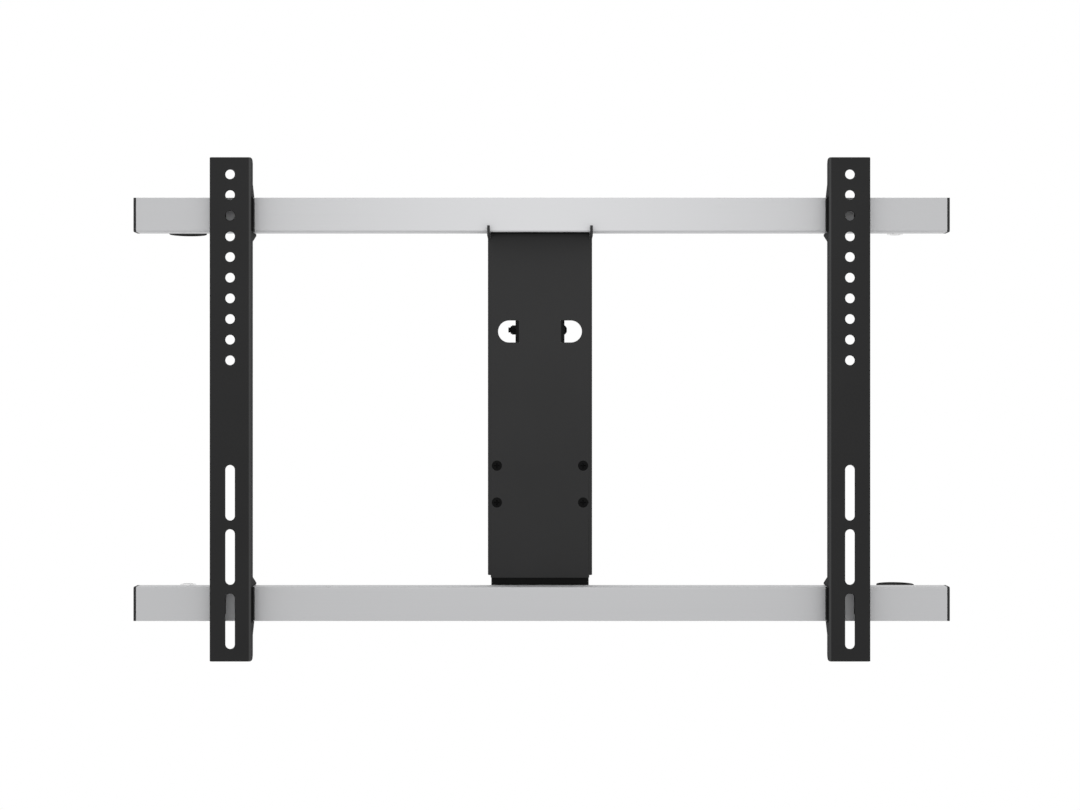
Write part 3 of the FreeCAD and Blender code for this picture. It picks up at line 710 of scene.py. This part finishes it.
    def sink_end(self, facing: Vector, rim: float, depth: float) -> "Form":
        """Sink the flat end that faces a direction, inside a rim.

        Args:
            facing: The direction that the end faces.
            rim: The width of the rim that stays.
            depth: How deep the end sinks.

        Returns:
            This form.
        """
        end = [face for face in self.mesh.faces if face.normal.dot(facing) > self.along]
        bmesh.ops.inset_region(self.mesh, faces=end, thickness=rim, use_even_offset=True)
        bmesh.ops.inset_region(self.mesh, faces=end, thickness=depth, depth=-depth, use_even_offset=True)
        return self

    def piece(self, name: str, surface: Surface, replaced: Iterable[str] = ()) -> None:
        """Finish the form as an object that rides on the mount.

        Args:
            name: The object's name.
            surface: The surface of the faces that aren't marked.
            replaced: The nodes that it stands for.
        """
        data = bpy.data.meshes.new(name)
        self.mesh.to_mesh(data)
        self.mesh.free()
        data.shade_smooth()
        data.set_sharp_from_angle(angle=self.smooth_turn)
        for polygon in data.polygons:
            polygon.use_smooth = polygon.area < self.flat_area
        for kind in (surface, *self.marked):
            data.materials.append(kind.finish.material())
        made = bpy.data.objects.new(name, data)
        bpy.context.scene.collection.objects.link(made)
        weighted = made.modifiers.new("weighted_normals", "WEIGHTED_NORMAL")
        weighted.keep_sharp = True
        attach(made, BODY)
        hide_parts(*replaced)
        log.info("%s: %d faces", name, len(data.polygons))


def soften_node(node: str, name: str, edge: float, surface: Surface) -> None:
    """Make a piece of a node's solid, with its sharp edges rounded."""
    Form.of_node(node).soften(edge).piece(name, surface, [node])


@dataclass
class Strips:
    """The two folded strips that the screen is screwed to, and black blocks in their inner flanges'
    notches, as painted shade.
    """

    nodes: tuple[str, ...] = ("left_tv_strip", "right_tv_strip")
    edge: float = 0.35 * MM

    # The outside of a fold, which takes a painted highlight: its limits, and how far its faces turn to
    # the front and inwards
    fold_x: float = 284.0 * MM
    fold_back: float = -44.0 * MM
    fold_turn: float = 0.05
    fold_start: float = 0.42

    # Black blocks in the inner flanges' notches, where the rail lies only in shade: painted shade
    shade_pad_x: Span = (278.5 * MM, 282.4 * MM)
    shade_pad_y: Span = (-43.8 * MM, -32.7 * MM)
    shade_pad_z: tuple[Span, ...] = ((94.4 * MM, 126.7 * MM), (-284.3 * MM, -252.0 * MM))
    shade_pad_edge: float = 0.3 * MM

    def build(self) -> None:
        """Give the strips the small rounding that a coat has on cut edges and a painted highlight on
        their inner folds, and set the black blocks of painted shade in their notches.
        """
        for node in self.nodes:
            # The inner fold gets a lighter copy of the coat: a painted highlight.
            strip = Form.of_node(node).soften(self.edge).mark(self.is_inner_fold, Surface.FOLD_HIGHLIGHT)
            strip.piece("coated_" + node, Surface.STRIP, [node])
        # Black blocks with the rubber finish, set where there is only shade: painted shade.
        shade_pads = Form()
        for height in self.shade_pad_z:
            shade_pads.block_pair(self.shade_pad_x, self.shade_pad_y, height)
        shade_pads.soften(self.shade_pad_edge).piece("black_shade_pads", Surface.RUBBER)

    def is_inner_fold(self, face: bmesh.types.BMFace) -> bool:
        """Tell the outside of the fold along a strip's inner edge, which gets a painted highlight.

        Args:
            face: A face of a strip.

        Returns:
            Whether the face belongs to that fold.
        """
        middle = face.calc_center_median()
        inwards = -face.normal.x * math.copysign(1.0, middle.x)
        is_front = middle.y < self.fold_back and face.normal.y < -self.fold_turn
        return is_front and abs(middle.x) < self.fold_x and inwards > self.fold_start


@dataclass
class Column:
    """The folded column, the bracket in its foot and the screws that join them."""

    edge: float = 0.35 * MM
    front: float = -14.2 * MM
    face_top: float = 94.25 * MM
    top_gap: float = 0.15 * MM
    face_bottom: float = -244.8 * MM
    foot_edge: float = 0.8 * MM
    foot_steps: int = 4
    lip_turn: float = 0.05
    # A thin black sheet under the top rail between the hooks, where there is only shade: painted shade
    shade_sheet_low: Place = (-48.2 * MM, -30.7 * MM, 94.28 * MM)
    shade_sheet_high: Place = (48.2 * MM, -14.25 * MM, 94.39 * MM)
    ear_x: Span = (20.45 * MM, 24.6 * MM)
    ear_height: float = -2.0 * MM
    ear_half: float = 11.0 * MM
    ear_front: float = -14.19 * MM
    # Dark blocks in the bend reliefs beside the ears' folds, where there is only shade: painted shade
    relief_x: Span = (20.6 * MM, 24.15 * MM)
    relief_y: Span = (-13.9 * MM, -10.15 * MM)
    relief_z: tuple[Span, ...] = ((7.15 * MM, 8.85 * MM), (-12.85 * MM, -11.15 * MM))
    screw_edge: float = 0.12 * MM
    nut_edge: float = 0.5 * MM

    def build(self) -> None:
        """Close the face up to the rail, round its foot more than the other edges, and add painted shade
        and a painted highlight.
        """
        column = Form.of_node("column").lift(self.face_top, self.top_gap)
        column.soften(self.foot_edge, self.foot_steps, self.is_foot)
        column.soften(self.edge, chosen=self.is_clear_of_top)
        # The ears and their folds get the near black copy of the coat, as painted shade, and the rounding
        # at the foot the lighter copy, as a painted highlight.
        column.mark(self.is_ear, Surface.PAINTED_SHADE).mark(self.is_lip, Surface.FOLD_HIGHLIGHT)
        column.piece("coated_column", Surface.COLUMN, ["column"])
        # Dark blocks in the bend reliefs: painted shade.
        shade_blocks = Form()
        for height in self.relief_z:
            shade_blocks.block_pair(self.relief_x, self.relief_y, height)
        shade_blocks.piece("relief_shade_blocks", Surface.PAINTED_SHADE)
        # A black sheet under the top rail between the hooks: painted shade.
        shade_sheet = Form().block(Vector(self.shade_sheet_low), Vector(self.shade_sheet_high))
        shade_sheet.piece("shade_sheet_under_rail", Surface.RUBBER)
        # The lower bracket gets the near black copy of the coat: painted shade in the recess above the
        # bottom rail.
        soften_node("lower_bracket", "coated_lower_bracket", self.edge, Surface.PAINTED_SHADE)
        soften_node("column_screws", "cross_recessed_screws", self.screw_edge, Surface.BLACK_FASTENER)
        soften_node("clinch_nuts", "pressed_clinch_nuts", self.nut_edge, Surface.ZINC_FASTENER)

    def is_ear(self, face: bmesh.types.BMFace) -> bool:
        """Tell the ears and their folds, which get painted shade.

        Args:
            face: A face of the column.

        Returns:
            Whether the face belongs to an ear or its fold.
        """
        middle = face.calc_center_median()
        near, far = self.ear_x
        is_level = abs(middle.z - self.ear_height) < self.ear_half
        return near < abs(middle.x) < far and is_level and middle.y > self.ear_front

    def is_lip(self, face: bmesh.types.BMFace) -> bool:
        """Tell the rounding at the face's foot, which gets a painted highlight.

        Args:
            face: A face of the column.

        Returns:
            Whether the face belongs to that rounding.
        """
        middle = face.calc_center_median()
        is_end = middle.z < self.face_bottom + self.foot_edge
        is_front = middle.y < self.front + self.foot_edge
        return is_end and is_front and -Form.along < face.normal.z < -self.lip_turn

    def is_foot(self, edge: bmesh.types.BMEdge) -> bool:
        """Tell the front edge at the face's foot.

        Args:
            edge: An edge of the column.

        Returns:
            Whether it is that edge.
        """
        middle = (edge.verts[0].co + edge.verts[1].co) / 2
        is_end = abs(middle.z - self.face_bottom) < Form.merge_distance
        return is_end and abs(middle.y - self.front) < Form.merge_distance

    def is_clear_of_top(self, edge: bmesh.types.BMEdge) -> bool:
        """Whether an edge is clear of the raised top of the face."""
        top = self.face_top + self.top_gap
        return min(abs(vert.co.z - top) for vert in edge.verts) > Form.merge_distance


@dataclass
class Rails:
    """The two extruded rails, their end caps, and the nuts and spacers that sit on them."""

    rails: tuple[str, ...] = ("top_rail", "bottom_rail")
    top_caps: tuple[str, ...] = ("top_rail_left_cap", "top_rail_right_cap")
    bottom_caps: tuple[str, ...] = ("bottom_rail_right_cap", "bottom_rail_left_cap")
    nuts: tuple[str, ...] = ("top_rail_slot_nuts", "bottom_rail_slot_nuts", "angle_slot_nuts")
    middle: Place = (1.6 * MM, 0.0, -78.8 * MM)
    lip_edge: float = 0.25 * MM
    cap_edge: float = 0.20 * MM
    nut_edge: float = 0.60 * MM
    spacer_edge: float = 0.30 * MM

    def build(self) -> None:
        """Round the rails' slot lips, the caps' edges and the nuts' corners."""
        for node in self.rails:
            soften_node(node, "extruded_" + node, self.lip_edge, Surface.RAIL)
        for top, bottom in zip(self.top_caps, self.bottom_caps):
            soften_node(top, "moulded_" + top, self.cap_edge, Surface.CAP)
            turned = Form.of_node(top).half_turn(Vector(self.middle)).soften(self.cap_edge)
            turned.piece("moulded_" + bottom, Surface.CAP, [bottom])
        for node in self.nuts:
            soften_node(node, "chamfered_" + node, self.nut_edge, Surface.ZINC_FASTENER)
        soften_node("bottom_rail_spacers", "rounded_spacers", self.spacer_edge, Surface.STRIP)


@dataclass
class HangingBar:
    """The bolt through the column's ears, with its sleeve and locking nut."""

    ear_outside: float = 24.2 * MM
    ear_inside: float = 21.7 * MM
    sleeve_radius: float = 4.5 * MM
    sleeve_bore: float = 2.75 * MM
    sleeve_edge: float = 0.3 * MM
    bolt_radius: float = 2.5 * MM
    bolt_edge: float = 0.15 * MM
    nut_flats: float = 8.0 * MM
    nut_height: float = 3.7 * MM
    nut_chamfer: float = 0.35 * MM
    collar_radius: float = 3.9 * MM
    collar_height: float = 1.3 * MM
    collar_edge: float = 0.5 * MM

    def build(self) -> None:
        """Soften the bolt, and turn the sleeve and the nut's collar."""
        soften_node("hanging_bar_bolt", "socket_head_bolt", self.bolt_edge, Surface.BLACK_FASTENER)
        length = 2 * self.ear_inside
        wall = [
            (0.0, self.sleeve_bore),
            (0.0, self.sleeve_radius),
            (length, self.sleeve_radius),
            (length, self.sleeve_bore),
            (0.0, self.sleeve_bore),
        ]
        sleeve = Form().turn(wall, -LEFT * self.ear_inside, LEFT).soften(self.sleeve_edge)
        sleeve.piece("turned_sleeve", Surface.ZINC_FASTENER, ["hanging_bar_sleeve"])
        collar = [
            (0.0, self.bolt_radius),
            (0.0, self.collar_radius),
            (self.collar_height - self.collar_edge, self.collar_radius),
            (self.collar_height, self.collar_radius - self.collar_edge),
            (self.collar_height, self.bolt_radius),
            (0.0, self.bolt_radius),
        ]
        nut_seat = LEFT * self.ear_outside
        collar_seat = LEFT * (self.ear_outside + self.nut_height)
        nut = Form().hexagon(self.nut_flats, self.nut_height, self.nut_chamfer, nut_seat, LEFT)
        nut.turn(collar, collar_seat, LEFT)
        nut.piece("locking_nut", Surface.BLACK_FASTENER, ["hanging_bar_nut"])


@dataclass(frozen=True)
class ScrewSize:
    """The sizes of a hexagon screw with a flange under its head."""

    thread: float
    pitch: float
    flats: float
    head: float
    washer: float = 12.0 * MM
    washer_height: float = 1.2 * MM
    rim: float = 0.35 * MM
    tip: float = 0.5 * MM
    thread_share: float = 0.6
    chamfer: float = 0.4 * MM

    def half_section(self, reach: float) -> list[Point]:
        """Draw the half section of the flange and the threaded shank, from the flange's top to the tip.

        Args:
            reach: How far the shank goes below its seat.

        Returns:
            Places along the screw and radii.
        """
        flange = self.washer / 2
        crest = self.thread / 2
        root = crest - self.thread_share * self.pitch
        points = [(-self.washer_height, 0.0), (-self.washer_height, flange - self.rim)]
        points += [(self.rim - self.washer_height, flange), (0.0, flange), (0.0, crest)]
        for index in range(int((reach - self.tip) / self.pitch)):
            start = index * self.pitch
            points.append((start + self.pitch / 4, crest))
            points.append((start + self.pitch / 2, root))
            points.append((start + self.pitch, crest))
        return points + [(reach - self.tip, crest), (reach, root), (reach, 0.0)]


class Screw(Enum):
    """The kinds of hexagon screw."""

    M5 = ScrewSize(thread=5.0 * MM, pitch=0.8 * MM, flats=8.0 * MM, head=3.5 * MM)
    M6 = ScrewSize(thread=6.0 * MM, pitch=1.0 * MM, flats=10.0 * MM, head=4.0 * MM)
    M6_PLAIN = ScrewSize(
        thread=6.0 * MM,
        pitch=1.0 * MM,
        flats=10.0 * MM,
        head=3.7 * MM,
        washer=9.6 * MM,
        washer_height=0.3 * MM,
        rim=0.1 * MM,
    )


@dataclass
class HexScrews:
    """The hexagon screws in the strips, the rails and the angle brackets."""

    strip_x: float = 311.75 * MM
    strip_seat: float = -14.2 * MM
    strip_reach: float = 22.5 * MM
    top_x: float = 38.0 * MM
    top_seat: float = -11.7 * MM
    top_reach: float = 11.0 * MM
    bottom_x: float = 25.0 * MM
    bottom_seat: float = -9.2 * MM
    bottom_reach: float = 13.5 * MM
    angle_seat: float = -11.2 * MM
    angle_reach: float = 11.5 * MM
    angle_sheet: float = 3.0 * MM
    buffer_reach: float = 6.5 * MM

    def build(self) -> None:
        """Make each set, from the strips to the feet."""
        rails = (TOP_RAIL, BOTTOM_RAIL)
        feet = (LEFT_FOOT, RIGHT_FOOT)
        strip_seats = self.seats((-self.strip_x, self.strip_x), self.strip_seat, rails)
        top_seats = self.seats((-self.top_x, self.top_x), self.top_seat, (TOP_RAIL,))
        bottom_seats = self.seats((-self.bottom_x, self.bottom_x), self.bottom_seat, (BOTTOM_RAIL,))
        angle_seats = self.seats(feet, self.angle_seat, rails)
        upper_shelf = TOP_SHELF + self.angle_sheet
        lower_shelf = BOTTOM_SHELF - self.angle_sheet
        shelf_seats = [(Vector((x, FOOT_DEPTH, upper_shelf)), DOWN) for x in feet]
        shelf_seats += [(Vector((x, FOOT_DEPTH, lower_shelf)), UP) for x in feet]
        self.make("strip_screws", Screw.M5, strip_seats, self.strip_reach)
        self.make("top_rail_screws", Screw.M6, top_seats, self.top_reach)
        self.make("bottom_rail_screws", Screw.M6, bottom_seats, self.bottom_reach)
        self.make("angle_screws", Screw.M5, angle_seats, self.angle_reach)
        self.make("buffer_screws", Screw.M6_PLAIN, shelf_seats, self.buffer_reach)

    @staticmethod
    def seats(across: Sequence[float], depth: float, heights: Sequence[float]) -> list[Seat]:
        """The seats of screws that point to the front, and that direction."""
        return [(Vector((x, depth, height)), FORWARD) for height in heights for x in across]

    @staticmethod
    def make(node: str, screw: Screw, seats: Sequence[Seat], reach: float) -> None:
        """Turn the shanks of one set and put their heads on them.

        Args:
            node: The node that the set stands for.
            screw: The kind of screw.
            seats: Each screw's seat and the way it points.
            reach: How far the shanks go below their seats.
        """
        size = screw.value
        form = Form()
        for seat, pointing in seats:
            form.turn(size.half_section(reach), seat, pointing)
            head_seat = seat - pointing * size.washer_height
            form.hexagon(size.flats, size.head, size.chamfer, head_seat, -pointing)
        form.piece("threaded_" + node, Surface.ZINC_FASTENER, [node])


@dataclass(frozen=True)
class FootSize:
    """The sizes of a round foot, with the rim round its sunk end, and its surface."""

    radius: float
    edge: float
    rim: float
    sink: float
    surface: Surface


class Foot(Enum):
    """The kinds of foot."""

    BUFFER = FootSize(
        radius=18.49 * MM, edge=1.0 * MM, rim=4.0 * MM, sink=0.6 * MM, surface=Surface.RUBBER
    )
    POST = FootSize(radius=8.0 * MM, edge=0.8 * MM, rim=2.0 * MM, sink=0.4 * MM, surface=Surface.POST)


@dataclass
class Feet:
    """The round rubber buffers and metal posts behind the rails' ends, and their angle brackets."""

    height: float = 6.0 * MM
    edge_steps: int = 4
    angle_edge: float = 0.35 * MM
    angles: tuple[str, ...] = (
        "top_left_buffer_angle",
        "top_right_post_angle",
        "bottom_right_buffer_angle",
        "bottom_left_post_angle",
    )

    def build(self) -> None:
        """Turn the buffers and posts, and soften the angles."""
        for node in self.angles:
            soften_node(node, "coated_" + node, self.angle_edge, Surface.STRIP)
        self.turn_foot("top_left_buffer", Foot.BUFFER, LEFT_FOOT, TOP_SHELF, DOWN)
        self.turn_foot("bottom_right_buffer", Foot.BUFFER, RIGHT_FOOT, BOTTOM_SHELF, UP)
        self.turn_foot("top_right_post", Foot.POST, RIGHT_FOOT, TOP_SHELF, DOWN)
        self.turn_foot("bottom_left_post", Foot.POST, LEFT_FOOT, BOTTOM_SHELF, UP)

    def turn_foot(self, node: str, foot: Foot, across: float, shelf: float, facing: Vector) -> None:
        """Turn one buffer or post with rounded rims and a sunk end.

        Args:
            node: The node that it stands for.
            foot: The kind of foot.
            across: Its place along the rail.
            shelf: The height of the shelf that it sits on.
            facing: The direction from the shelf to its free end.
        """
        size = foot.value
        section = [(0.0, 0.0), (0.0, size.radius), (self.height, size.radius), (self.height, 0.0)]
        form = Form().turn(section, Vector((across, FOOT_DEPTH, shelf)), facing)
        form.soften(size.edge, self.edge_steps).sink_end(facing, size.rim, size.sink)
        form.piece("turned_" + node, size.surface, [node])


@dataclass(frozen=True)
class Lamp:
    """A rectangular lamp, with its power in watts and the angle of its beam."""

    name: str
    place: Place
    size: tuple[float, float]
    power: float
    spread: float = math.pi

    def hang(self, target: Vector) -> None:
        """Hang the lamp so that it faces a point.

        Args:
            target: The point.
        """
        light = bpy.data.lights.new(self.name, "AREA")
        light.shape = "RECTANGLE"
        light.size, light.size_y = self.size
        light.energy = self.power
        light.spread = self.spread
        hung = bpy.data.objects.new(self.name, light)
        hung.location = self.place
        hung.rotation_euler = (target - hung.location).to_track_quat("-Z", "Y").to_euler()
        bpy.context.scene.collection.objects.link(hung)


@dataclass
class Studio:
    """A pale floor below the mount, a white surround, soft lamps and the camera."""

    photo_width: float = 1080.0
    focal_pixels: float = 1868.0
    sensor: float = 36.0
    camera_distance: float = 1807 * MM
    camera_rise: float = 4.25 * MM
    floor_drop: float = 0.45
    floor_radius: float = 1.2
    floor_sides: int = 96
    soft_light: float = 0.9
    rail_lamp: Lamp = Lamp(
        "rail_lamp",
        place=(0.0, -1.25, 0.25),
        size=(0.35, 0.25),
        power=0.17,
        spread=math.radians(36.5),
    )
    rail_lamp_aim: Place = (0.0, 0.0, 90 * MM)
    key_softbox: Lamp = Lamp("key_softbox", place=(0.0, -1.0, 1.5), size=(1.2, 1.2), power=3.0)

    def build(self) -> None:
        """Set the stage, the light and the camera."""
        low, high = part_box("left_tv_strip")
        middle = Vector((0.0, low.y, (low.z + high.z) / 2))
        self.lay_floor(low.z - self.floor_drop)
        self.surround()
        self.rail_lamp.hang(Vector(self.rail_lamp_aim))
        self.key_softbox.hang(middle)
        self.set_camera(middle)
        bpy.context.scene.view_settings.view_transform = "Standard"

    def lay_floor(self, height: float) -> None:
        """Lay a round pale floor that fades to white at its rim.

        Args:
            height: Where the floor lies.
        """
        mesh = bmesh.new()
        bmesh.ops.create_circle(
            mesh,
            cap_ends=True,
            radius=self.floor_radius,
            segments=self.floor_sides,
            matrix=Matrix.Translation((0.0, 0.0, height)),
        )
        data = bpy.data.meshes.new("floor")
        mesh.to_mesh(data)
        mesh.free()
        floor = bpy.data.objects.new("floor", data)
        bpy.context.scene.collection.objects.link(floor)
        paint = FloorPaint(self.floor_radius / 2, self.floor_radius).material()
        paint.cycles.emission_sampling = "NONE"
        data.materials.append(paint)

    def surround(self) -> None:
        """Make the surround white where it is seen, and softer where it only lights."""
        world = bpy.data.worlds.new("white_surround")
        world.use_nodes = True
        bpy.context.scene.world = world
        shader = Shader(world.node_tree)
        soft = shader.node("ShaderNodeBackground", inputs={"Color": WHITE, "Strength": self.soft_light})
        white = shader.node("ShaderNodeBackground", inputs={"Color": WHITE, "Strength": 1.0})
        camera, glossy, through = shader.seen_rays()
        mixed = shader.blend(camera + glossy + through, soft, white)
        shader.node("ShaderNodeOutputWorld", inputs={"Surface": mixed})

    def set_camera(self, middle: Vector) -> None:
        """Set the level camera in front of the strips.

        Args:
            middle: The middle of the strips' front plane.
        """
        data = bpy.data.cameras.new("camera")
        data.sensor_fit = "HORIZONTAL"
        data.sensor_width = self.sensor
        data.lens = self.sensor * self.focal_pixels / self.photo_width
        camera = bpy.data.objects.new("camera", data)
        camera.location = middle + Vector((0.0, -self.camera_distance, self.camera_rise))
        camera.rotation_euler = (math.pi / 2, 0.0, 0.0)
        bpy.context.scene.collection.objects.link(camera)
        bpy.context.scene.camera = camera


def main() -> None:
    """Load the solids, dress them and set the studio."""
    logging.basicConfig(level=logging.INFO, format="%(name)s: %(message)s")
    bpy.ops.wm.read_factory_settings(use_empty=True)
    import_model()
    for assembly in (Strips(), Column(), Rails(), HangingBar(), HexScrews(), Feet(), Studio()):
        assembly.build()


if __name__ == "__main__":
    main()
